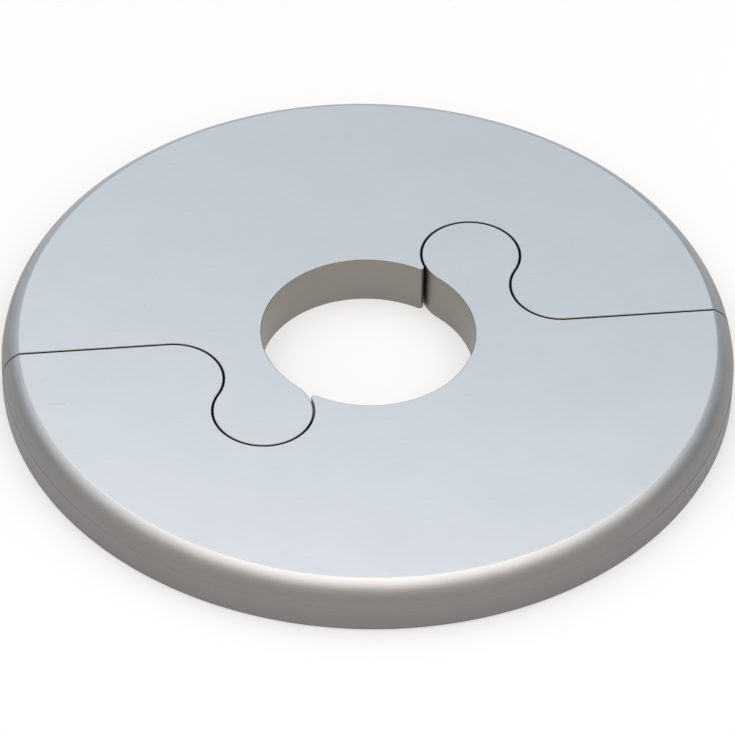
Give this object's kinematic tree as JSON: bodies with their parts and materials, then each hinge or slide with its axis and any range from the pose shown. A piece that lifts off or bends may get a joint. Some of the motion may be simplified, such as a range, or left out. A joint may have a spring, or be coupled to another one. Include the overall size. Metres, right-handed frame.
{
  "type": "pipe rosette",
  "caption": "Round split rosette that closes round a heating pipe and covers the hole it comes through, its halves locked together by hooked tongues.",
  "frame": {"origin": "on the pipe's axis, in the plane of the flat back that lies on the floor or wall", "axes": "+Z along the pipe's axis, out of the flat front; the straight stretches of the joint line lie along X; the rear half is on the +Y side"},
  "size_m": [0.082, 0.082, 0.006],
  "materials": {
    "satin_aluminium": "satin silver, finely brushed along the joint line on the flat front, smoother and warmer grey on the edge and in the hole"
  },
  "bodies": {
    "front_half": {"front_half": "satin_aluminium"},
    "rear_half": {"rear_half": "satin_aluminium"}
  },
  "joints": [
    {"name": "rear_half_slide", "type": "slide", "parent": "front_half", "child": "rear_half", "axis": [0, 0, 1], "range_m": [0, 0.01]}
  ]
}
